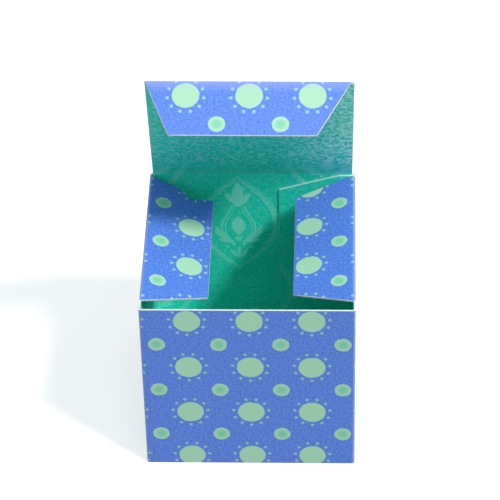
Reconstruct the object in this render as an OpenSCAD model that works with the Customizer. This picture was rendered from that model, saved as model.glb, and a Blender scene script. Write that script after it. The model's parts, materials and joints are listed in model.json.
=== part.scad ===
// Small open gift box: a cube folded and glued from one sheet of printed card, with two
// dust flaps and a hinged lid whose tuck flap slides in behind the front wall.
// Millimetres. The box stands on z = 0, its front faces -y and the lid hinges at the back.

/* [Box] */
// Outside width, left to right
box_w = 38.1; // [32:0.1:100]
// Outside depth, front to back
box_d = 38.1; // [32:0.1:100]
// Height of the closed box
box_h = 38.1; // [20:0.1:100]

/* [Card] */
// Thickness of the card
card_t = 0.35; // [0.2:0.05:0.5]
// Inside radius of every fold
fold_r = 0.15; // [0.1:0.05:0.3]

/* [Lid] */
// How far the lid stands open, in degrees from closed
lid_open = 65; // [20:1:110]
// How far each side edge of the lid stops short of the box's side
lid_inset = 0.55; // [0.4:0.05:1.5]
// Length of the tuck flap from its fold
tuck_len = 10.4; // [6:0.1:16]
// How far the tuck flap is folded, in degrees from flat
tuck_fold = 90; // [80:1:95]
// How far each end of the tuck fold stops short of the lid's side edge
tuck_inset = 0.4; // [0.2:0.05:1.5]
// How far the left end of the tuck flap slopes in
tuck_left_taper = 4.7; // [2:0.1:9]
// How far the right end of the tuck flap slopes in
tuck_right_taper = 5.9; // [2:0.1:9]

/* [Dust flaps] */
// Length of the left dust flap from its fold
left_dust_len = 12.2; // [6:0.1:15]
// Length of the right dust flap from its fold
right_dust_len = 11.2; // [6:0.1:15]
// How far the front edge of a dust flap slopes back
dust_front_taper = 4; // [1:0.1:8]
// How far the back edge of a dust flap slopes forward
dust_back_taper = 3.5; // [1:0.1:8]
// How far the back edge of a dust flap runs straight before it slopes
dust_back_straight = 1.6; // [0.5:0.1:4]
// How far the left dust flap hangs below level, in degrees
left_dust_angle = 15; // [5:1:25]
// How far the right dust flap hangs below level, in degrees
right_dust_angle = 12; // [5:1:25]

/* [Glued seams] */
// Width of the glue tab inside the back wall
tab_w = 14.2; // [6:0.1:16]
// How far the two ends of the glue tab slope in
tab_taper = 3.4; // [0.5:0.1:6]
// How far the ends of the glue tab run straight before they slope
tab_straight = 2.6; // [0.5:0.1:5]
// Length of each inner bottom flap
base_flap_len = 14; // [6:0.1:15]
// How far the two ends of an inner bottom flap slope in
base_flap_taper = 3; // [0.5:0.1:8]
// Height of the bottom panel's flange behind the front wall
flange_h = 7; // [4:0.1:10]
// How far the two ends of the flange slope in
flange_taper = 2; // [0.5:0.1:4]

/* [Clearances] */
// Gap between the closed lid and the walls and folds below it
lid_gap = 0.15; // [0.1:0.05:0.3]
// Gap between the front wall and the tuck flap's edge as the lid swings shut
swing_gap = 0.25; // [0.15:0.05:0.8]
// Gap between the tucked-in flap and the front ends of the dust flaps
dust_front_gap = 0.3; // [0.2:0.05:1]
// Gap between the glue tab and the back ends of the dust flaps
dust_back_gap = 0.3; // [0.2:0.05:1.5]
// Gap between the lid's front edge and the rolled edge of the tuck flap
crease_gap = 0.1; // [0.05:0.05:0.2]
// Gap left beside the base's flaps, panel and flange so that they fold without catching
seam_gap = 0.8; // [0.4:0.1:2]

/* [Hidden] */
$fn = 64;

PRINT_BLUE = [0.33, 0.43, 0.85];
DAMASK_GREEN = [0.15, 0.60, 0.50];

// Outside radius of a fold, and the half sizes that the walls stand on
fold_out = fold_r + card_t;
half_w = box_w / 2;
half_d = box_d / 2;
front_in = card_t - half_d;
wall_top = box_h - card_t - lid_gap;

// Fold axes: dust flaps at the top of the side walls, inner flaps just above the bottom panel
dust_axis_z = wall_top - fold_out;
base_axis_z = card_t + fold_out;

// Lid hinge, and the lid's length for a tuck flap that just swings past the front wall
hinge_y = half_d - card_t / 2;
hinge_z = box_h - card_t / 2;
lid_half_w = half_w - lid_inset;
swing_reach = hinge_y - front_in - swing_gap;
tuck_drop = tuck_len * sin(tuck_fold) - card_t / 2 * cos(tuck_fold);
tuck_lead = tuck_len * cos(tuck_fold) + card_t / 2 * sin(tuck_fold);
lid_len = sqrt(swing_reach * swing_reach - tuck_drop * tuck_drop) - tuck_lead;

// Dust flaps start behind the tucked-in flap and end before the glue tab
dust_front_y = hinge_y - lid_len + card_t / 2 + dust_front_gap;
dust_back_y = half_d - 2 * card_t - dust_back_gap;
dust_fold_len = dust_back_y - dust_front_y;

// Bottom: inner flaps between the flange at the front and the glue tab at the back
base_front_y = front_in + card_t + seam_gap;
base_fold_len = -2 * base_front_y;
flange_axis_y = front_in + fold_out;
panel_half_w = half_w - fold_out;
panel_half_d = half_d - fold_out;
flange_half_w = half_w - card_t - seam_gap;

// A fold and the flap beyond it. The fold's axis is z, from 0 to fold_len. The sheet comes
// up along +y at the fold's +x side, turns towards -x and runs on as a flap with sloped ends.
// Each end may run straight a little way before it slopes.
module fold_and_flap(
    fold_len, flap_len, low_taper, high_taper, turn = 90, low_straight = 0, high_straight = 0
) {
    flat_len = flap_len - fold_out;
    low_start = low_straight > 0 ? [[low_straight, 0]] : [];
    high_start = high_straight > 0 ? [[high_straight, fold_len]] : [];
    low_end = concat([[0, 0]], low_start, [[flat_len, low_taper]]);
    high_end = concat([[flat_len, fold_len - high_taper]], high_start, [[0, fold_len]]);
    fold(fold_len, turn);
    rotate([0, 0, turn])
        translate([fold_r, 0, 0])
            rotate([90, 0, 90])
                linear_extrude(card_t)
                    polygon(concat(low_end, high_end));
}

// The bend alone: the sheet's thickness swept round the inside radius
module fold(fold_len, turn = 90) {
    rotate_extrude(angle = turn)
        translate([fold_r, 0])
            square([card_t, fold_len]);
}

// Four walls, the three folds between them and the glue tab inside the back wall's right end
module walls() {
    side_len = box_d - 2 * fold_out;
    side_h = dust_axis_z - base_axis_z;
    translate([-panel_half_w, -half_d, 0])
        cube([2 * panel_half_w, card_t, wall_top]);
    translate([half_w - card_t, fold_out - half_d, base_axis_z])
        cube([card_t, side_len - card_t, side_h]);
    translate([-panel_half_w, half_d - card_t, fold_out])
        cube([panel_half_w + half_w, card_t, wall_top - fold_out]);
    translate([-half_w, fold_out - half_d, base_axis_z])
        cube([card_t, side_len, side_h]);
    translate([panel_half_w, -panel_half_d, 0])
        rotate([0, 0, -90])
            fold(wall_top);
    translate([-panel_half_w, -panel_half_d, 0])
        rotate([0, 0, 180])
            fold(wall_top);
    translate([-panel_half_w, panel_half_d, fold_out])
        rotate([0, 0, 90])
            fold(wall_top - fold_out);
    translate([panel_half_w, panel_half_d - card_t, base_axis_z])
        fold_and_flap(
            wall_top - base_axis_z, tab_w, tab_taper, tab_taper, 90, tab_straight, tab_straight
        );
}

// Dust flap at the top of the right wall, hanging a little below level
module dust_flap(flap_len, drop) {
    translate([half_w - fold_out, dust_back_y, dust_axis_z])
        rotate([90, 0, 0])
            fold_and_flap(
                dust_fold_len, flap_len, dust_back_taper, dust_front_taper, 90 + drop, dust_back_straight
            );
}

// Inner bottom flap at the foot of the right wall
module base_flap() {
    translate([half_w - fold_out, base_front_y, base_axis_z])
        rotate([-90, 0, 0])
            fold_and_flap(base_fold_len, base_flap_len, base_flap_taper, base_flap_taper);
}

// Bottom panel, folded in from the back wall, and its flange glued up behind the front wall
module base_panel() {
    panel_len = half_d - flange_axis_y;
    translate([panel_half_w, panel_half_d, fold_out])
        rotate([-90, 0, 90])
            fold_and_flap(2 * panel_half_w, panel_len, 0, 0);
    translate([flange_half_w, flange_axis_y, fold_out])
        rotate([-90, 0, 0])
            rotate([-90, 0, 90])
                fold_and_flap(2 * flange_half_w, flange_h, flange_taper, flange_taper);
}

// Glued shell of the box: one sheet, open at the top between its dust flaps
module box_body() {
    color(PRINT_BLUE) {
        walls();
        dust_flap(right_dust_len, right_dust_angle);
        mirror([1, 0, 0])
            dust_flap(left_dust_len, left_dust_angle);
        base_flap();
        mirror([1, 0, 0])
            base_flap();
        base_panel();
    }
}

// Places what it holds in the frame of the opened lid: the hinge is x, the lid runs along -y
module at_lid() {
    translate([0, hinge_y, hinge_z])
        rotate([-lid_open, 0, 0])
            children();
}

// Edge of card rolled round a crease: a rod as thick as the card
module rolled_edge(half_len) {
    rotate([0, 90, 0])
        cylinder(d = card_t, h = 2 * half_len, center = true);
}

// Lid panel with its rolled hinge edge
module lid() {
    panel_len = lid_len - card_t / 2 - crease_gap;
    color(DAMASK_GREEN)
        at_lid() {
            rolled_edge(lid_half_w);
            translate([-lid_half_w, -panel_len, -card_t / 2])
                cube([2 * lid_half_w, panel_len, card_t]);
        }
}

// Tuck flap at the lid's front edge, with sloped ends
module tuck_flap() {
    root_half_w = lid_half_w - tuck_inset;
    tip_left = tuck_left_taper - root_half_w;
    tip_right = root_half_w - tuck_right_taper;
    color(PRINT_BLUE)
        at_lid()
            translate([0, -lid_len, 0])
                rotate([tuck_fold, 0, 0]) {
                    rolled_edge(root_half_w);
                    translate([0, 0, -card_t / 2])
                        linear_extrude(card_t)
                            polygon([
                                [-root_half_w, 0],
                                [tip_left, -tuck_len],
                                [tip_right, -tuck_len],
                                [root_half_w, 0]
                            ]);
                }
}

box_body();
lid();
tuck_flap();
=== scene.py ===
# %% [markdown]
# # A small gift box, folded from one printed sheet
# The real box is one sheet of card with a dotted print outside and a damask print inside. It is cut
# as a flat blank, creased, folded up and glued along one seam. This script makes it much the same way: it
# draws the flat blank, folds it at the creases of its walls and flaps, adds the lid and the tuck flap as
# panels of their own and lets both prints run through all the panels.

import json
import math

import bpy
import numpy as np
from mathutils import Matrix, Vector


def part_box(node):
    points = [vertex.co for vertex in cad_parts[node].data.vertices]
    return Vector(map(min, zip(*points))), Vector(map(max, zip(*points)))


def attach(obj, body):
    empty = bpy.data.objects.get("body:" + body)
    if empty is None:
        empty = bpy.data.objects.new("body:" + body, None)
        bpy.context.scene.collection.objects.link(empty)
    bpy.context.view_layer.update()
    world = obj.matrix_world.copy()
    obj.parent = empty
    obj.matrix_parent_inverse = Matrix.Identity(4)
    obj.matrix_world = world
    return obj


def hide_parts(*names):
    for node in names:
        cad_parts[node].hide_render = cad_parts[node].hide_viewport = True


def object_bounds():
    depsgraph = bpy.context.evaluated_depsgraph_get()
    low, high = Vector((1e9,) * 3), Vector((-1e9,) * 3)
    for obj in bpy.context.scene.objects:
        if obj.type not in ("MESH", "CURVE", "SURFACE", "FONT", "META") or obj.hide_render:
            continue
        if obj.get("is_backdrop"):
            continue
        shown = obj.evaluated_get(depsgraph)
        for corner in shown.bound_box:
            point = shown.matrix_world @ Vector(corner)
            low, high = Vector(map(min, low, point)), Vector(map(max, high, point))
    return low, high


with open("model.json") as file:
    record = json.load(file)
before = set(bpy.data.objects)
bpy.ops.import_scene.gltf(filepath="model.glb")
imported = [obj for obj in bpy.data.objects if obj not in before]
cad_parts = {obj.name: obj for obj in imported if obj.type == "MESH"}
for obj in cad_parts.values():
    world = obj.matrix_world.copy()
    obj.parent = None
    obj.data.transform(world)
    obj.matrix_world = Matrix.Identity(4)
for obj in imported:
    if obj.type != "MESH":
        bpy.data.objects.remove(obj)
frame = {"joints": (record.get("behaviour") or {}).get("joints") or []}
cad_low, cad_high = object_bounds()
print("frame, mm:", [round(1000 * v, 2) for v in cad_high - cad_low])

# %% [markdown]
# ## Measures of the sheet
# All lengths below are millimetres. The card is 0.35 mm thick, and the folds are followed along the
# middle of its thickness, because that is the layer that neither stretches nor shrinks in a bend. The
# walls' size and the two hinge lines are read from the frame.

# %% Measures
MM = 0.001
CARD = 0.35
FOLD_INSIDE = 0.15
FOLD_OUTSIDE = FOLD_INSIDE + CARD
FOLD_RADIUS = FOLD_INSIDE + CARD / 2
FOLD_STEPS = 8
RIGHT_ANGLE = math.pi / 2
QUARTER = FOLD_RADIUS * RIGHT_ANGLE

_, body_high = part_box("box_body")
HALF = body_high.x / MM
FLAT_END = HALF - FOLD_OUTSIDE
MIDDLE = HALF - CARD / 2
WALL_TOP = body_high.z / MM
DUST_CREASE = WALL_TOP - FOLD_OUTSIDE
BASE_CREASE = FOLD_OUTSIDE
SIDE_FOOT = CARD + FOLD_OUTSIDE

hinge, crease = (Vector(joint["pos_m"]) / MM for joint in frame["joints"])
LID_RUN = (crease - hinge).normalized()
LID_LENGTH = (crease - hinge).length
print(f"half width {HALF:.2f}, walls {WALL_TOP:.2f} high, lid {LID_LENGTH:.2f} long")

# %% [markdown]
# ## Node maths that reads like Python
# A print is a formula over the sheet. Written node by node it can't be read, so one small class
# wraps a socket: adding or multiplying two wrapped sockets makes the matching node. The same class
# serves the shader trees and the folding tree.


# %% A wrapped socket
class Field:
    """One value in a node tree."""

    def __init__(self, tree, socket):
        self.tree = tree
        self.socket = socket

    def node(self, kind, inputs=None, output=0, **settings):
        """Any other node in the same tree, with its inputs linked or set."""
        made = self.tree.nodes.new(kind)
        for key, value in settings.items():
            setattr(made, key, value)
        for key, value in (inputs or {}).items():
            socket = made.inputs[key]
            if isinstance(value, Field):
                self.tree.links.new(value.socket, socket)
            else:
                socket.default_value = value
        return Field(self.tree, made.outputs[output])

    def math(self, operation, *others, clamp=False):
        inputs = dict(enumerate((self, *others)))
        return self.node("ShaderNodeMath", inputs, operation=operation, use_clamp=clamp)

    def vector(self, operation, other):
        return self.node("ShaderNodeVectorMath", {0: self, 1: other}, operation=operation)

    def __add__(self, other):
        return self.math("ADD", other)

    __radd__ = __add__

    def __mul__(self, other):
        return self.math("MULTIPLY", other)

    __rmul__ = __mul__

    def __sub__(self, other):
        return self.math("SUBTRACT", other)

    def __rsub__(self, other):
        return self * -1 + other

    def __truediv__(self, other):
        return self.math("DIVIDE", other)

    def __pow__(self, other):
        return self.math("POWER", other)

    def __abs__(self):
        return self.math("ABSOLUTE")

    def __or__(self, other):
        return self.math("MAXIMUM", other)

    def clamped(self):
        """The value, kept between 0 and 1."""
        return self.math("ADD", 0.0, clamp=True)

    def below(self, edge, soft=0.08):
        """1 where the value is under the edge, fading out over a soft border."""
        return ((edge - self) / soft + 0.5).clamped()

    def band(self, half_width, soft=0.08):
        """1 where the value is within half_width of zero."""
        return abs(self).below(half_width, soft)

    def repeat(self, pitch, start):
        """Distance from the nearest of a row of points, pitch apart."""
        return (((self - start) / pitch + 0.5).math("FRACT") - 0.5) * pitch

    def parts(self):
        """The three numbers of a vector."""
        split = self.node("ShaderNodeSeparateXYZ", {0: self}).socket.node
        return [Field(self.tree, split.outputs[axis]) for axis in "XYZ"]

    def mix(self, first, second):
        """A colour between two, with this value as the share of the second."""
        first, second = (c if isinstance(c, Field) else (*c, 1.0) for c in (first, second))
        # The node has inputs for numbers, vectors and colours: 6, 7 and output 2 are the colours
        return self.node("ShaderNodeMix", {0: self, 6: first, 7: second}, 2, data_type="RGBA")


def distance(x, y):
    return (x * x + y * y).math("SQRT")


print("node maths ready")

# %% [markdown]
# ## Card as a material
# Every face of the box is card, so one function makes what all of its finishes share: a weak gloss, the
# place on the sheet and a faint bump for the fibres. The place comes from a UV map in millimetres, which
# follows the sheet round each fold. Object coordinates would cut straight through the folds instead.


# %% Card
def new_paper(name, roughness):
    """A material with card's constant settings, and its sheet coordinates in millimetres."""
    material = bpy.data.materials.new(name)
    material.use_nodes = True
    tree = material.node_tree
    shader = tree.nodes["Principled BSDF"]
    shader.inputs["Roughness"].default_value = roughness
    shader.inputs["Specular IOR Level"].default_value = 0.25
    uv = tree.nodes.new("ShaderNodeUVMap")
    uv.uv_map = "sheet"
    place = Field(tree, uv.outputs["UV"])
    u, v, _ = place.parts()
    return material, shader, place, u, v


def speckle(place, scale, detail=2.0):
    """Fine noise over the sheet, about zero."""
    inputs = {"Vector": place, "Scale": scale, "Detail": detail, "Roughness": 0.6}
    noise = place.node("ShaderNodeTexNoise", inputs, noise_dimensions="2D")
    return noise - 0.5


def finish_paper(place, shader, colour, grain=0.02):
    """Wires the colour, and a faint bump for the paper's fibres. grain is the fibres' height."""
    tree = place.tree
    tree.links.new(colour.socket, shader.inputs["Base Color"])
    height = speckle(place, 2.2, 4.0)
    inputs = {"Height": height, "Strength": 0.25, "Distance": grain * MM}
    bump = place.node("ShaderNodeBump", inputs)
    tree.links.new(bump.socket, shader.inputs["Normal"])


def crease_wear(place):
    """1 along the middle of a fold and 0 on the flat panels."""
    return place.node("ShaderNodeAttribute", output="Fac", attribute_name="crease")


print("card ready")

# %% [markdown]
# ## The dotted print
# Big pale dots sit on a square lattice, each in a ring of eleven tiny dots, with a smaller dot in
# every gap between four big ones. The lattice is a formula of the sheet coordinates, so it never
# breaks at a crease. A little noise in the blue stands for the ink's mottle.

# %% Dotted print
DOT_PITCH = 11.0
BIG_COLUMN = 84.6
BIG_ROW = 35.0
BIG_RADIUS = 2.40
SMALL_RADIUS = 1.50
RING_RADIUS = 3.2
TINY_RADIUS = 0.30
TINY_DOTS = 11
BLUE = (0.036, 0.119, 0.565)
BLUE_PALE = (0.138, 0.282, 0.760)
MINT = (0.325, 0.590, 0.430)
MINT_GREEN = (0.150, 0.515, 0.365)
WORN = (0.420, 0.500, 0.800)


def dotted_print():
    material, shader, place, u, v = new_paper("dotted print", 0.26)
    across = u.repeat(DOT_PITCH, BIG_COLUMN)
    up = v.repeat(DOT_PITCH, BIG_ROW)
    wobble = speckle(place, 0.9) * 0.25
    from_big = distance(across, up)
    big = (from_big + wobble).below(BIG_RADIUS, 0.12)

    turn = across.math("ARCTAN2", up * -1)
    along = turn.repeat(2 * math.pi / TINY_DOTS, 0.0) * from_big
    ring = distance(along, from_big - RING_RADIUS).below(TINY_RADIUS, 0.18)

    across = u.repeat(DOT_PITCH, BIG_COLUMN + DOT_PITCH / 2)
    up = v.repeat(DOT_PITCH, BIG_ROW + DOT_PITCH / 2)
    from_small = distance(across, up)
    small = (from_small + wobble).below(SMALL_RADIUS, 0.12)
    middle = from_small.below(0.85, 0.7)

    mottle = (speckle(place, 2.3, 3.0) * 1.4 + 0.45).clamped()
    colour = mottle.mix(BLUE, BLUE_PALE)
    colour = (ring * 0.72).mix(colour, MINT)
    colour = small.mix(colour, MINT)
    colour = (small * middle * 0.85).mix(colour, MINT_GREEN)
    colour = big.mix(colour, MINT)
    colour = (crease_wear(place) * 0.35).mix(colour, WORN)
    finish_paper(place, shader, colour)
    return material


DOTS = dotted_print()
print("dotted print:", len(DOTS.node_tree.nodes), "nodes")

# %% [markdown]
# ## The damask motif
# The inner side carries a damask: a lily over an onion-shaped line with a bud in it, leaves below, all
# in a feathered frame. It could be painted as a picture, but a formula stays sharp at any size. Each
# shape is a distance turned into a soft mask, and one half is enough, because the motif is the same
# left and right.


# %% Damask motif
def leaf(x, y, centre_x, centre_y, half_width, half_length, degrees=0.0):
    """1 inside a leaf with two pointed ends, turned clockwise from upright."""
    c, s = math.cos(math.radians(degrees)), math.sin(math.radians(degrees))
    dx, dy = x - centre_x, y - centre_y
    along = (dx * s + dy * c) / half_length
    across = abs(dx * c - dy * s)
    return (across - (1 - along * along) * half_width).below(0.0, 0.16)


def spot(x, y, centre_x, centre_y, radius):
    return distance(x - centre_x, y - centre_y).below(radius, 0.16)


def loop(x, y, centre_x, centre_y, radius, half_width):
    return (distance(x - centre_x, y - centre_y) - radius).band(half_width, 0.14)


def flower(side, y):
    """Lily, bud, leaves and knobs of one motif, from its middle line outwards."""
    lily = leaf(side, y, 0, 8.0, 1.1, 2.9) | leaf(side, y, 1.25, 6.7, 0.65, 1.9, 37)
    lily = lily | leaf(side, y, 0, 5.9, 0.7, 1.1)
    bud = leaf(side, y, 0, 0.2, 1.25, 2.4)
    collar = leaf(side, y, 3.0, -2.1, 0.7, 2.1, 54) | leaf(side, y, 2.4, -3.4, 0.5, 1.7, 78)
    collar = collar | leaf(side, y, 3.9, -0.8, 0.4, 1.3, 30)
    knob = spot(side, y, 0, -3.0, 0.6) | spot(side, y, 1.0, -4.3, 0.36)
    knob = knob | spot(side, y, 2.1, -5.0, 0.3)
    spray = leaf(side, y, 0, -6.4, 0.4, 1.5) | leaf(side, y, 1.0, -6.6, 0.35, 1.3, 35)
    return lily | bud | (collar | knob | spray) * 0.85


def onion(side, y):
    """Double line that bulges round the bud and closes under the lily."""
    swing = ((y + 0.2) * (math.pi / 12.4)).math("COSINE")
    line = side - (swing * swing * 2.15 + 1.0)
    line = line.band(0.16, 0.14) | (line + 0.6).band(0.08, 0.12)
    return line * y.below(5.2) * (y * -1).below(1.6)


def motif_frame(side, y):
    """Pointed oval of feathers round the flower."""
    border = side + (abs(y - 0.8) / 11.4) ** 1.9 * 7.8 - 7.8
    quill = (y + side * 0.7).repeat(0.75, 0.0).band(0.22, 0.2)
    feather = (border + 0.75).band(0.5, 0.2) * (quill * 0.6 + 0.4)
    return feather * 0.8 | border.band(0.12, 0.14) * 0.7


def filling(side, y):
    """Palmette and curls in the gaps between the frames, fainter than the rest."""
    palmette = leaf(side, y, 0, -13.2, 0.55, 2.0) | leaf(side, y, 1.5, -13.5, 0.5, 2.1, 38)
    palmette = palmette | leaf(side, y, 2.9, -14.3, 0.5, 2.6, 65)
    palmette = palmette | leaf(side, y, 3.4, -15.7, 0.4, 2.4, 86)
    curl = loop(side, y, 6.3, 13.3, 0.7, 0.13) | loop(side, y, 7.4, 11.6, 0.45, 0.12)
    curl = curl | loop(side, y, 4.7, 14.6, 0.5, 0.12)
    return palmette * 0.3 | curl * 0.4


print("damask motif ready")

# %% [markdown]
# ## The damask print
# The motif repeats in columns, and every second column is shifted by half a repeat. It is printed tone
# on tone in green. On the lid the motif is faint and a pale lace shows instead. Towards the lid's right
# side the lace grows denser and paler: partly the print's lace, partly painted light for that
# brighter-lit side. The lace is made of the contour lines of a noise, which wander as lace does.

# %% Damask print
COLUMN = 16.7
ROW = 33.0
MOTIF_U = 21.9
MOTIF_V = 25.0
LID_START = 38.0
LID_FADE = 6.0
LACE_AND_LIGHT_REACH = 15.0
GREEN = (0.006, 0.690, 0.570)
GREEN_DEEP = (0.006, 0.600, 0.480)
GREEN_LIGHT = (0.280, 0.870, 0.790)
LACE = (0.520, 0.960, 0.920)


def damask_print():
    material, shader, place, u, v = new_paper("damask print", 0.5)
    sway = speckle(place, 0.8) * 0.35
    side = abs((u + sway).repeat(COLUMN, MOTIF_U))
    number = ((u - MOTIF_U) / COLUMN + 0.5).math("FLOOR")
    shift = abs(number.math("MODULO", 2.0)) * (ROW / 2)
    y = (v + sway - shift).repeat(ROW, MOTIF_V)
    shapes = flower(side, y) | onion(side, y) | motif_frame(side, y) | filling(side, y)

    on_lid = ((v - LID_START) / LID_FADE).clamped()
    # Lace strength on the lid, rising towards its right side: partly print, partly painted light for the
    # lid's brighter right side
    lace_and_painted_light = on_lid * (0.35 + ((LACE_AND_LIGHT_REACH - u) / LACE_AND_LIGHT_REACH).clamped() * 0.65)
    contours = (speckle(place, 0.42, 1.0) * 3.4).repeat(1.0, 0.0).band(0.14, 0.18)
    flecks = (speckle(place, 1.0, 2.0) * 8 + lace_and_painted_light * 0.6).clamped()
    lace = contours * (flecks * 0.5 + 0.5) | flecks * 0.5

    mottle = speckle(place, 1.8, 3.0) * 0.9
    amount = shapes * (1 - on_lid * 0.7) * 0.72 | lace * (lace_and_painted_light + 0.25)
    ground = (on_lid * 0.7).mix(GREEN, GREEN_DEEP)
    colour = (amount + mottle).clamped().mix(ground, GREEN_LIGHT)
    # The lace turns paler towards the lid's right side: partly print, partly painted light
    colour = (lace * lace_and_painted_light * lace_and_painted_light).mix(colour, LACE)
    colour = (crease_wear(place) * 0.25).mix(colour, GREEN_LIGHT)
    finish_paper(place, shader, colour)
    return material


DAMASK = damask_print()
print("damask print:", len(DAMASK.node_tree.nodes), "nodes")

# %% [markdown]
# ## The cut edge
# Both prints lie on a white core, and every cut shows it as a thin pale line. Those lines draw the
# outline of each flap, so the edge faces get a material of their own.

# %% Cut edge
CORE_DARK = (0.52, 0.53, 0.58)
CORE = (0.72, 0.72, 0.75)


def cut_edge():
    material, shader, place, _, _ = new_paper("cut edge", 0.8)
    fibres = (speckle(place, 1.2, 3.0) * 1.5 + 0.6).clamped()
    finish_paper(place, shader, fibres.mix(CORE_DARK, CORE))
    return material


CUT = cut_edge()
print("cut edge ready")

# %% [markdown]
# ## Panels of the flat blank
# The blank starts at the back wall's cut edge and runs through the left, front and right wall to the
# glue tab. Flaps hang off its long sides. An edge below lists how far in a flap is cut, at some distances
# from its fold. The left dust flap has a dished back edge, so its list is the longest.

# %% Panels of the blank
LEFT_TURN, RIGHT_TURN = math.radians(105), math.radians(102)
DUST_GAP = 0.3
DUST_FRONT = hinge.y - LID_LENGTH + CARD / 2 + DUST_GAP
DUST_BACK = HALF - 2 * CARD - DUST_GAP
LEFT_DUST_REACH, RIGHT_DUST_REACH = 11.7, 10.7
LEFT_FRONT_EDGE = ((0, 0), (LEFT_DUST_REACH, 4.0))
LEFT_BACK_EDGE = ((0, 0), (4.6, 1.6), (6.0, 2.6), (7.0, 3.8), (8.2, 4.1), (LEFT_DUST_REACH, 3.3))
RIGHT_FRONT_EDGE = ((0, 0), (RIGHT_DUST_REACH, 4.0))
RIGHT_BACK_EDGE = ((0, 0), (1.6, 0), (RIGHT_DUST_REACH, 3.5))
SEAM_GAP = 0.8
BASE_END = HALF - 2 * CARD - SEAM_GAP
BASE_EDGE = ((0, 0), (13.5, 3.0))
PANEL_EDGE = ((0, 0), (2 * FLAT_END - CARD, 0))
FLANGE_END = HALF - CARD - SEAM_GAP
FLANGE_EDGE = ((0, 0), (6.5, 2.0))
TAB_REACH, TAB_TAPER, TAB_STRAIGHT = 13.7, 3.4, 2.6
WALLS, LEFT_DUST, RIGHT_DUST, LEFT_BASE, RIGHT_BASE, PANEL = range(6)
print(f"dust flaps from {DUST_FRONT:.2f} to {DUST_BACK:.2f}, base flaps to {BASE_END:.2f}")

# %% [markdown]
# ## Points on the sheet
# Every point keeps its flat place, because each fold is worked out from how far a point lies beyond a
# crease. Two flaps can lie over the same place, so a point is known by its flap's number too. Points
# that two panels share are made once, which keeps the sheet in one piece.


# %% Points
def stations(first, last, also=(), spacing=1.9):
    """Evenly spaced places from first to last, with some others among them."""
    count = max(1, round(abs(last - first) / spacing))
    even = np.linspace(first, last, count + 1)
    inner = [p for p in even[1:-1] if all(abs(p - q) > 0.6 for q in also)]
    return sorted([first, last, *inner, *also])


class Blank:
    """Points and faces of a flat sheet."""

    def __init__(self):
        self.index = {}
        self.flat = []
        self.print_uv = []
        self.wear = []
        self.faces = []

    def point(self, u, v, flap, uv, wear=0.0):
        key = (round(u, 3), round(v, 3), flap)
        if key not in self.index:
            self.index[key] = len(self.flat)
            self.flat.append((u, v, flap))
            self.print_uv.append(uv)
            self.wear.append(wear)
        return self.index[key]

    def strip(self, low, high):
        """Faces between two rows of points, with the dotted side along +Y."""
        for i in range(len(low) - 1):
            self.faces.append((low[i], low[i + 1], high[i + 1], high[i]))


blank = Blank()
print("blank started")

# %% [markdown]
# ## Walls
# The four walls and the tab lie side by side. They are laid out in columns of points, which stand close
# together at the corners so that those can bend. Real prints never land quite evenly, and on this box
# the pattern runs a little tight on the side walls, so the print's place is kept apart from the sheet's.

# %% Walls
# The print is laid out as if the corners were sharp, so a fold takes up both legs of its corner
FOLD_PRINT = 2 * FOLD_OUTSIDE
TIGHT_PLACES = (2 * HALF, 70.0, 4 * HALF, 6 * HALF, 8 * HALF)
TIGHT_SHIFTS = (0, 0.7, 0, 0, 0.75)
columns = []


def print_place(u):
    """Where the print lies at a place along the blank."""
    return u + float(np.interp(u, TIGHT_PLACES, TIGHT_SHIFTS))


def arc_wear(share):
    return math.sin(math.pi * share) ** 2


def bend(number, foot):
    """Columns of points round the corner after a wall, from their foot up."""
    start = columns[-1]["u"]
    print_start = (2 * number + 1) * HALF + FLAT_END
    rows = (foot, WALL_TOP)
    columns[-1]["rows"] = rows
    for i in range(1, FOLD_STEPS):
        share = i / FOLD_STEPS
        print_u = print_place(print_start + share * FOLD_PRINT)
        columns.append(dict(u=start + share * QUARTER, print_u=print_u, wear=arc_wear(share), rows=rows))


def panel(number, first, last, rows, also=()):
    """Columns across one wall. rows gives the lowest and highest row of a column's next strip.
    Returns where the wall's middle lies along the blank."""
    start = columns[-1]["u"] + QUARTER / FOLD_STEPS if columns else 0.0
    for place in stations(first, last, also):
        print_u = print_place((2 * number + 1) * HALF + place)
        columns.append(dict(u=start + place - first, print_u=print_u, wear=0.0, rows=rows(place)))
    return start - first


def back_rows(place):
    return (BASE_CREASE, hinge.z) if place > -FLAT_END - 0.01 else (BASE_CREASE, WALL_TOP)


def left_rows(place):
    on_flap = -DUST_BACK - 0.01 < place < -DUST_FRONT - 0.01
    return (SIDE_FOOT, DUST_CREASE if on_flap else WALL_TOP)


def right_rows(place):
    on_flap = DUST_FRONT - 0.01 < place < DUST_BACK - 0.01
    return (SIDE_FOOT, DUST_CREASE if on_flap else WALL_TOP)


right_end = FLAT_END - CARD
back_0 = panel(0, -HALF, FLAT_END, back_rows, (-FLAT_END, -FLANGE_END, FLANGE_END))
bend(0, BASE_CREASE)
left_0 = panel(1, -FLAT_END, FLAT_END, left_rows, (-DUST_BACK, -BASE_END, -DUST_FRONT, BASE_END))
bend(1, 0.0)
front_0 = panel(2, -FLAT_END, FLAT_END, lambda place: (0.0, WALL_TOP))
bend(2, 0.0)
right_0 = panel(3, -FLAT_END, right_end, right_rows, (-BASE_END, DUST_FRONT, BASE_END, DUST_BACK))
bend(3, SIDE_FOOT)
tab_slope = (TAB_STRAIGHT - FLAT_END,)
tab_0 = panel(4, -FLAT_END, TAB_REACH - FLAT_END, lambda place: (SIDE_FOOT, WALL_TOP), tab_slope)
TAB_START = tab_0 - FLAT_END
heights = [0.0, BASE_CREASE, *stations(SIDE_FOOT, DUST_CREASE), WALL_TOP, hinge.z]


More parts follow.
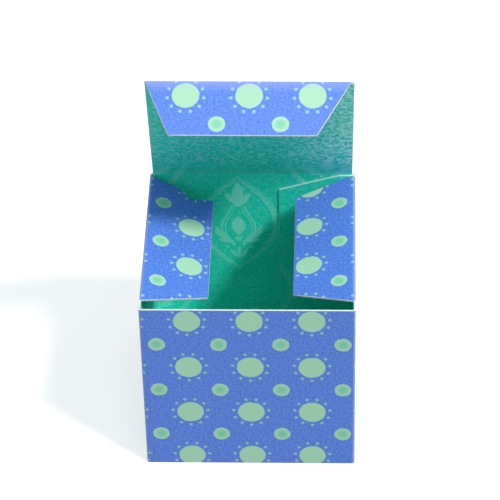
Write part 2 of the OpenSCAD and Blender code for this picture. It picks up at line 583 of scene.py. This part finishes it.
def wall_point(column, height):
    """A point of a column. The tab's ends slope in beyond their straight stretch."""
    beyond = max(0.0, column["u"] - TAB_START - TAB_STRAIGHT) / (TAB_REACH - TAB_STRAIGHT)
    middle = (SIDE_FOOT + WALL_TOP) / 2
    v = middle + (height - middle) * (1 - beyond * 2 * TAB_TAPER / (WALL_TOP - SIDE_FOOT))
    return blank.point(column["u"], v, WALLS, (column["print_u"], v), column["wear"])


for column, following in zip(columns, columns[1:]):
    low, high = column["rows"]
    used = [h for h in heights if low - 0.01 < h < high + 0.01]
    blank.strip([wall_point(following, h) for h in used], [wall_point(column, h) for h in used])
print(len(columns), "columns, blank", round(columns[-1]["u"], 1), "mm long")

# %% [markdown]
# ## Flaps
# A flap is the fold along the blank's edge and the flat stretch beyond it. Its points start from the
# wall's own columns, so the sheet has no seam there. Further out they slide inwards along the two cut
# edges.


# %% Flaps
def flap(number, root, ends, start, way, turn, first_edge, last_edge):
    """A flap on the part called root. way is +1 upwards and -1 downwards. Returns its outer end."""
    first, last = ends
    base = [c for c in columns if first - 0.01 < c["u"] < last + 0.01]
    reach = first_edge[-1][0]
    fold_length = FOLD_RADIUS * turn
    rows = []
    for i in range(FOLD_STEPS + 1):
        share = i / FOLD_STEPS
        v = start + way * share * fold_length
        print_v = start + way * share * FOLD_PRINT
        own = number if i else root
        wear = arc_wear(share)
        rows.append([blank.point(c["u"], v, own, (c["print_u"], print_v), wear) for c in base])
    turns = [at for at, _ in (*first_edge[1:-1], *last_edge[1:-1])]
    for s in stations(0.0, reach, turns)[1:]:
        slides = [float(np.interp(s, *zip(*edge))) for edge in (first_edge, last_edge)]
        v = start + way * (fold_length + s)
        print_v = start + way * (FOLD_PRINT + s)
        row = []
        for c in base:
            along = (c["u"] - first) / (last - first)
            slide = slides[0] * (1 - along) - slides[1] * along
            row.append(blank.point(c["u"] + slide, v, number, (c["print_u"] + slide, print_v)))
        rows.append(row)
    for low, high in zip(rows, rows[1:]):
        blank.strip(*((low, high) if way > 0 else (high, low)))
    return start + way * (fold_length + reach)


ends = (left_0 - DUST_BACK, left_0 - DUST_FRONT)
flap(LEFT_DUST, WALLS, ends, DUST_CREASE, 1, LEFT_TURN, LEFT_BACK_EDGE, LEFT_FRONT_EDGE)
ends = (right_0 + DUST_FRONT, right_0 + DUST_BACK)
flap(RIGHT_DUST, WALLS, ends, DUST_CREASE, 1, RIGHT_TURN, RIGHT_FRONT_EDGE, RIGHT_BACK_EDGE)
for number, origin in ((LEFT_BASE, left_0), (RIGHT_BASE, right_0)):
    ends = (origin - BASE_END, origin + BASE_END)
    flap(number, WALLS, ends, SIDE_FOOT, -1, RIGHT_ANGLE, BASE_EDGE, BASE_EDGE)
ends = (back_0 - FLAT_END, back_0 + FLAT_END)
FLANGE_CREASE = flap(PANEL, WALLS, ends, BASE_CREASE, -1, RIGHT_ANGLE, PANEL_EDGE, PANEL_EDGE)
ends = (back_0 - FLANGE_END, back_0 + FLANGE_END)
flap(PANEL, PANEL, ends, FLANGE_CREASE, -1, RIGHT_ANGLE, FLANGE_EDGE, FLANGE_EDGE)
print(len(blank.flat), "points and", len(blank.faces), "faces in the blank")

# %% [markdown]
# ## The blank as a mesh
# The mesh stands upright in the plane of the back wall, with the flat place of each point stored beside
# it for the folding. A second value marks the creases, where the print is rubbed a little paler.


# %% Blank mesh
def sheet_mesh(name, points, faces, print_uv, wear):
    """A mesh in metres with the print's coordinates and the creases' wear."""
    mesh = bpy.data.meshes.new(name)
    mesh.from_pydata([Vector(p) * MM for p in points], [], faces)
    uv = mesh.uv_layers.new(name="sheet")
    corner_points = np.empty(len(mesh.loops), np.int32)
    mesh.loops.foreach_get("vertex_index", corner_points)
    uv.data.foreach_set("uv", np.array(print_uv, np.float32)[corner_points].ravel())
    worn = mesh.attributes.new("crease", "FLOAT", "POINT")
    worn.data.foreach_set("value", np.array(wear, np.float32))
    return mesh


flat = np.array(blank.flat)
points = np.column_stack([HALF - flat[:, 0], np.full(len(flat), MIDDLE), flat[:, 1]])
blank_mesh = sheet_mesh("flat blank", points, blank.faces, blank.print_uv, blank.wear)
place = blank_mesh.attributes.new("flat", "FLOAT_VECTOR", "POINT")
place.data.foreach_set("vector", (flat * (MM, MM, 1)).astype(np.float32).ravel())
print("blank mesh:", len(blank_mesh.polygons), "faces")

# %% [markdown]
# ## One crease
# A crease turns everything beyond it. A point in the bend itself turns only in part, by its distance
# past the crease, so the sheet keeps its length and gets a true round fold. One node group does this
# for any crease.


# %% Crease group
def add_sockets(tree, sockets):
    for name, kind in sockets:
        tree.interface.new_socket(name, in_out="INPUT", socket_type="NodeSocket" + kind)
    tree.interface.new_socket("Geometry", in_out="OUTPUT", socket_type="NodeSocketGeometry")
    entry = tree.nodes.new("NodeGroupInput")
    return {name: Field(tree, entry.outputs[name]) for name, _ in sockets}


def leave_with(shape):
    leave = shape.tree.nodes.new("NodeGroupOutput")
    shape.tree.links.new(shape.socket, leave.inputs["Geometry"])


def crease_group():
    tree = bpy.data.node_groups.new("Crease", "GeometryNodeTree")
    kinds = [("Geometry", "Geometry"), ("Distance", "Float"), ("Across", "Vector")]
    kinds += [("Centre", "Vector"), ("Axis", "Vector"), ("Angle", "Float"), ("Radius", "Float")]
    given = add_sockets(tree, kinds)
    past = given["Distance"] | 0.0
    past = past.math("MINIMUM", given["Radius"] * given["Angle"])
    position = past.node("GeometryNodeInputPosition")
    back = past.node("ShaderNodeVectorMath", {0: given["Across"], "Scale": past}, operation="SCALE")
    moved = position.vector("SUBTRACT", back)
    inputs = {"Vector": moved, "Center": given["Centre"], "Axis": given["Axis"]}
    inputs["Angle"] = past / given["Radius"]
    turned = moved.node("ShaderNodeVectorRotate", inputs)
    inputs = {"Geometry": given["Geometry"], "Position": turned}
    leave_with(moved.node("GeometryNodeSetPosition", inputs))
    return tree


CREASE = crease_group()
print("crease group:", len(CREASE.nodes), "nodes")

# %% [markdown]
# ## All creases
# The box is folded as a person folds it: the flaps first, while the walls still lie flat, and then the
# corners one after the other, from the glue tab back to the first wall. In this order each crease still
# lies in the plane of the back wall when its turn comes, so its axis is known beforehand.


# %% Folding tree
def fold_tree():
    tree = bpy.data.node_groups.new("Fold the blank", "GeometryNodeTree")
    angles = ("Corner angle", "Left dust angle", "Right dust angle", "Base angle")
    kinds = [("Geometry", "Geometry"), ("Fold radius", "Float"), ("Print", "Material")]
    given = add_sockets(tree, kinds + [(name, "Float") for name in angles])
    radius = given["Fold radius"]
    flat_place = {"Name": "flat"}
    place = radius.node("GeometryNodeInputNamedAttribute", flat_place, data_type="FLOAT_VECTOR")
    u, v, number = place.parts()
    inner = (MIDDLE - FOLD_RADIUS) * MM

    def fold(sheet, beyond, across, centre, axis, angle):
        inputs = dict(Geometry=sheet, Distance=beyond, Across=across, Centre=centre, Axis=axis)
        inputs.update(Angle=angle, Radius=radius)
        return sheet.node("GeometryNodeGroup", inputs, node_tree=CREASE)

    def edge_fold(sheet, flap_number, start, way, angle):
        beyond = (v - start * MM) * way * number.math("COMPARE", flap_number, 0.1)
        return fold(sheet, beyond, (0, 0, way), (0, inner, start * MM), (way, 0, 0), angle)

    def corner_fold(sheet, start, angle):
        centre = ((HALF - start) * MM, inner, 0)
        return fold(sheet, u - start * MM, (-1, 0, 0), centre, (0, 0, 1), angle)

    sheet = edge_fold(given["Geometry"], PANEL, FLANGE_CREASE, -1, given["Base angle"])
    sheet = edge_fold(sheet, PANEL, BASE_CREASE, -1, given["Base angle"])
    for flap_number in (LEFT_BASE, RIGHT_BASE):
        sheet = edge_fold(sheet, flap_number, SIDE_FOOT, -1, given["Base angle"])
    sheet = edge_fold(sheet, LEFT_DUST, DUST_CREASE, 1, given["Left dust angle"])
    sheet = edge_fold(sheet, RIGHT_DUST, DUST_CREASE, 1, given["Right dust angle"])
    for start in (right_0 + right_end, front_0 + FLAT_END, left_0 + FLAT_END, back_0 + FLAT_END):
        sheet = corner_fold(sheet, start, given["Corner angle"])
    real = sheet.node("GeometryNodeRealizeInstances", {"Geometry": sheet})
    inputs = {"Geometry": real, "Material": given["Print"]}
    leave_with(real.node("GeometryNodeSetMaterial", inputs))
    return tree


FOLDING = fold_tree()
print("folding tree:", len(FOLDING.nodes), "nodes")

# %% [markdown]
# ## Fold the blank
# The tree's inputs are the angles that the real folds have. The dust flaps are bent a little past a right
# angle, so they hang below level. The folded result is kept as a plain mesh, because the frame takes
# finished shapes only.


# %% Fold
def plain_mesh(thing, name):
    """The object's evaluated shape as a mesh of its own. The object itself is removed."""
    graph = bpy.context.evaluated_depsgraph_get()
    graph.update()
    shape = thing.evaluated_get(graph)
    mesh = bpy.data.meshes.new_from_object(shape, preserve_all_data_layers=True, depsgraph=graph)
    mesh.name = name
    bpy.data.objects.remove(thing)
    return mesh


def put(name, data):
    thing = bpy.data.objects.new(name, data)
    bpy.context.scene.collection.objects.link(thing)
    return thing


flat_blank = put("flat_blank", blank_mesh)
folding = flat_blank.modifiers.new("fold", "NODES")
folding.node_group = FOLDING
settings = {
    "Fold radius": FOLD_RADIUS * MM,
    "Print": DOTS,
    "Corner angle": RIGHT_ANGLE,
    "Left dust angle": LEFT_TURN,
    "Right dust angle": RIGHT_TURN,
    "Base angle": RIGHT_ANGLE,
}
for socket in FOLDING.interface.items_tree:
    if socket.name in settings and socket.in_out == "INPUT":
        folding[socket.identifier] = settings[socket.name]
folded = plain_mesh(flat_blank, "folded sheet")
print("folded,", len(folded.vertices), "points")

# %% [markdown]
# ## Card thickness
# The folded sheet gets its thickness to both sides of the middle layer. The outer side keeps the dots,
# the inner side takes the damask and the rim shows the white core, so no edge needs painting by hand.

# %% Thickness
PAPERS = (DOTS, DAMASK, CUT)
OUTER, INNER, RIM = range(3)


def bevel_cuts(thing):
    """A narrow slope of bare core along each cut, as a blade leaves it."""
    bevel = thing.modifiers.new("cut", "BEVEL")
    bevel.width = 0.08 * MM
    bevel.segments = 1
    bevel.angle_limit = math.radians(60)
    bevel.material = RIM


def give_thickness(mesh, name):
    mesh.materials.clear()
    for material in PAPERS:
        mesh.materials.append(material)
    thing = put(name, mesh)
    solid = thing.modifiers.new("card", "SOLIDIFY")
    solid.thickness = CARD * MM
    solid.offset = 0.0
    solid.use_even_offset = True
    solid.material_offset = INNER
    solid.material_offset_rim = RIM
    bevel_cuts(thing)
    return put(name, plain_mesh(thing, name))


def soften(thing, degrees=35):
    """Smooth shading that stays sharp at the cut edges."""
    thing.data.shade_smooth()
    thing.data.set_sharp_from_angle(angle=math.radians(degrees))


shell = give_thickness(folded, "card_shell")
soften(shell)
print("shell, mm:", [round(v / MM, 2) for v in shell.dimensions])

# %% [markdown]
# ## A panel that turns
# On the real box the lid and the tuck flap are part of the same sheet. They turn at their creases, so
# here each is a panel of its own with a round edge at the crease. The round edge lies on the joint's
# axis, half in dots and half in damask, so the crease looks whole at every angle. A panel is its
# section, repeated across the width.

# %% Panel helper
LID_HALF = 18.5
ACROSS = 20
# The lid's round end lies inside the tuck flap's round edge, so it is a touch thinner
LID_END_SHARE = 0.98
WEAR_REACH = 0.35
PRINT_OVERRUN = 0.3


def section(reach, round_end):
    """The panel's section: place along it, place out of it, and whether that is the inner side."""
    half = CARD / 2
    end = LID_END_SHARE * half
    turns = [math.pi * i / 12 for i in range(1, 12)]
    outline = [(s, half, False) for s in stations(0, reach)]
    if round_end:
        outline += [(reach + end * math.sin(a), end * math.cos(a), a > RIGHT_ANGLE) for a in turns]
    outline += [(s, -half, True) for s in stations(0, reach)[::-1]]
    outline += [(-half * math.sin(a), -half * math.cos(a), a < RIGHT_ANGLE) for a in turns]
    return outline


def lean(x):
    """How far the lid's front edge is out of square, along the lid."""
    return -0.12 * x / LID_HALF


def panel_faces(outline, reach, round_end):
    """Faces round the section and at both sides, each with the number of its paper."""
    around = len(outline)
    faces, papers = [], []
    for i in range(around):
        j = (i + 1) % around
        cut = not round_end and outline[i][0] == outline[j][0] == reach
        paper = RIM if cut else INNER if outline[i][2] and outline[j][2] else OUTER
        for k in range(ACROSS - 1):
            faces.append((i * ACROSS + k, i * ACROSS + k + 1, j * ACROSS + k + 1, j * ACROSS + k))
            papers.append(paper)
    faces.append([i * ACROSS for i in range(around)])
    faces.append([i * ACROSS + ACROSS - 1 for i in range(around)][::-1])
    return faces, papers + [RIM, RIM]


def card_panel(name, origin, run, outward, reach, left, right, print_v, round_end, askew):
    """A flat panel of card. left and right give its side edges at the root and at the tip, and askew
    how much of the lean it has."""
    outline = section(reach, round_end)
    points, uv, wear = [], [], []
    for s, out, _ in outline:
        share = min(max(s / reach, 0), 1)
        low = left[0] + share * (left[1] - left[0])
        high = right[0] + share * (right[1] - right[0])
        print_row = print_v(min(max(s, -PRINT_OVERRUN), reach + PRINT_OVERRUN))
        from_fold = min(abs(s), abs(reach - s) if round_end else math.inf)
        for x in np.linspace(low, high, ACROSS):
            place = origin + run * s + outward * out + LID_RUN * askew(share) * lean(x)
            points.append(place + Vector((x, 0, 0)))
            uv.append((HALF - x, print_row))
            wear.append(max(0.0, 1 - from_fold / WEAR_REACH))
    faces, papers = panel_faces(outline, reach, round_end)
    mesh = sheet_mesh(name, points, faces, uv, wear)
    for material in PAPERS:
        mesh.materials.append(material)
    mesh.polygons.foreach_set("material_index", papers)
    thing = put(name, mesh)
    bevel_cuts(thing)
    thing = put(name, plain_mesh(thing, name))
    soften(thing)
    return thing


print("panel helper ready")

# %% [markdown]
# ## Lid and tuck flap
# The lid of this box stands a little askew: its front edge lies a hair to the right and isn't quite
# square to its sides. The tuck flap follows that edge, and its two ends are cut to different slopes. A
# perfect lid would be simpler, but the small error is part of how the folded box looks. The print runs
# on from the back wall over the lid and round the tuck fold.

# %% Lid and tuck flap
TUCK_FOLD_V = BIG_ROW + 4 * DOT_PITCH - 2.7
LID_STRETCH = (TUCK_FOLD_V - hinge.z) / LID_LENGTH
TUCK_LENGTH = 10.4
LID_LEFT, LID_RIGHT = (-LID_HALF, -17.8), (LID_HALF, 18.7)
TUCK_LEFT, TUCK_RIGHT = (-17.75, -13.4), (18.15, 12.2)

lid_out = Vector((0, LID_RUN.z, -LID_RUN.y))
lid = card_panel(
    "lid_panel",
    hinge,
    LID_RUN,
    lid_out,
    LID_LENGTH,
    LID_LEFT,
    LID_RIGHT,
    lambda s: hinge.z + s * LID_STRETCH,
    True,
    lambda share: share,
)
tuck = card_panel(
    "tuck_flap_panel",
    crease,
    -lid_out,
    LID_RUN,
    TUCK_LENGTH,
    TUCK_LEFT,
    TUCK_RIGHT,
    lambda s: TUCK_FOLD_V + s,
    False,
    lambda share: 1.0,
)
for piece in (shell, lid, tuck):
    print(piece.name, len(piece.data.polygons), "faces")

# %% [markdown]
# ## Hand the pieces to the frame
# Each piece stands for one part of the frame and moves with its body: the shell stays, the lid turns at
# its hinge and carries the tuck flap along. No piece is tied to another by hand, because the frame
# already knows the joints.

# %% Pieces and bodies
for piece, node, body, slot in (
    (shell, "box_body", "box", "dotted_card"),
    (lid, "lid", "lid", "damask_card"),
    (tuck, "tuck_flap", "tuck_flap", "dotted_card"),
):
    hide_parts(node)
    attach(piece, body)
print("pieces ride on their bodies")

# %% [markdown]
# ## Floor
# The box stands on plain white. A floor that is really that white would throw too much light back, so
# the paint is grey and the rest is a glow that is only seen: by the camera, in a mirror or through glass.
# The glow also lifts the box's shadow, which stays as a faint one.

# %% Floor
FLOOR_HALF = 3.0
FLOOR_HEIGHT = -2e-5
FLOOR_GREY = 0.42
FLOOR_GLOW = 0.64

corners = ((-1, -1), (1, -1), (1, 1), (-1, 1))
floor_mesh = bpy.data.meshes.new("floor")
floor_points = [(x * FLOOR_HALF, y * FLOOR_HALF, FLOOR_HEIGHT) for x, y in corners]
floor_mesh.from_pydata(floor_points, [], [(0, 1, 2, 3)])
floor = put("floor", floor_mesh)
white = bpy.data.materials.new("white floor")
white.use_nodes = True
paint = white.node_tree.nodes["Principled BSDF"]
paint.inputs["Base Color"].default_value = (FLOOR_GREY, FLOOR_GREY, FLOOR_GREY, 1)
paint.inputs["Roughness"].default_value = 1.0
paint.inputs["Specular IOR Level"].default_value = 0.0
paint.inputs["Emission Strength"].default_value = 1.0
rays = white.node_tree.nodes.new("ShaderNodeLightPath")
kinds = ("Is Camera Ray", "Is Glossy Ray", "Is Transmission Ray")
seen, mirrored, through = (Field(white.node_tree, rays.outputs[kind]) for kind in kinds)
glow = (seen | mirrored | through).mix((0, 0, 0), (FLOOR_GLOW, FLOOR_GLOW, FLOOR_GLOW))
white.node_tree.links.new(glow.socket, paint.inputs["Emission Color"])
floor_mesh.materials.append(white)
floor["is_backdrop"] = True
print("floor", 2 * FLOOR_HALF, "m wide")

# %% [markdown]
# ## Light
# One fairly small warm light from the upper right draws the slanting shadow inside the box, and a cool
# sky fills the shade. Two white panels do the rest: the one overhead gives the tuck flap its sheen, and
# the one in front lifts the inside of the box and the lid a little.

# %% Light
SKY = (0.79, 0.98, 1.0)
WARM = (1.0, 0.88, 0.80)
KEY_FROM = Vector((0.6, -0.405, 1.0))
BOX_MIDDLE = Vector((0, 0, 0.04))

world = bpy.data.worlds.new("studio")
world.use_nodes = True
sky = world.node_tree.nodes["Background"]
sky.inputs["Color"].default_value = (*SKY, 1)
sky.inputs["Strength"].default_value = 0.56
bpy.context.scene.world = world

lamp = bpy.data.lights.new("key", "SUN")
lamp.energy = 1.0 * math.pi
lamp.color = WARM
lamp.angle = math.radians(8)
key = put("key", lamp)
key.rotation_euler = KEY_FROM.to_track_quat("Z", "Y").to_euler()


def softbox(name, place, width, depth, brightness):
    """A white panel aimed at the box. brightness is what a mirror would show of it."""
    light = bpy.data.lights.new(name, "AREA")
    light.shape = "RECTANGLE"
    light.size = width
    light.size_y = depth
    light.energy = brightness * math.pi * width * depth
    panel_lamp = put(name, light)
    panel_lamp.location = place
    panel_lamp.rotation_euler = (Vector(place) - BOX_MIDDLE).to_track_quat("Z", "Y").to_euler()


softbox("top panel", (0.05, -0.05, 1.0), 0.25, 0.25, 5.0)
softbox("front panel", (0.1, -0.7, 1.2), 0.5, 0.5, 1.9)
print("one key light and two panels")

# %% [markdown]
# ## Camera
# The camera stands where the photo's camera stood, which was found by fitting the corners of the box.
# Its lens is longer, so that the box fills the picture. That changes the crop and not the perspective.

# %% Camera
EYE = Vector((0.0162, -0.37295, 0.35553))
LENS = 196.0
ROLL = math.radians(-1.43)

aim = (cad_low + cad_high) / 2 - EYE
view = bpy.data.cameras.new("camera")
view.lens = LENS
camera = put("camera", view)
turn = aim.to_track_quat("-Z", "Y").to_matrix().to_4x4()
camera.matrix_world = Matrix.Translation(EYE) @ turn @ Matrix.Rotation(ROLL, 4, "Z")
bpy.context.scene.camera = camera
bpy.context.scene.view_settings.view_transform = "Standard"
print(f"camera {aim.length / MM:.0f} mm from the box")

# %% [markdown]
# ## Measure and finish
# Looks must not change the size of the box, so the finished pieces are measured, and their size is
# printed beside the frame's size from the start.

# %% Finish
low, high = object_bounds()
print("visual, mm:", [round(v / MM, 2) for v in high - low])
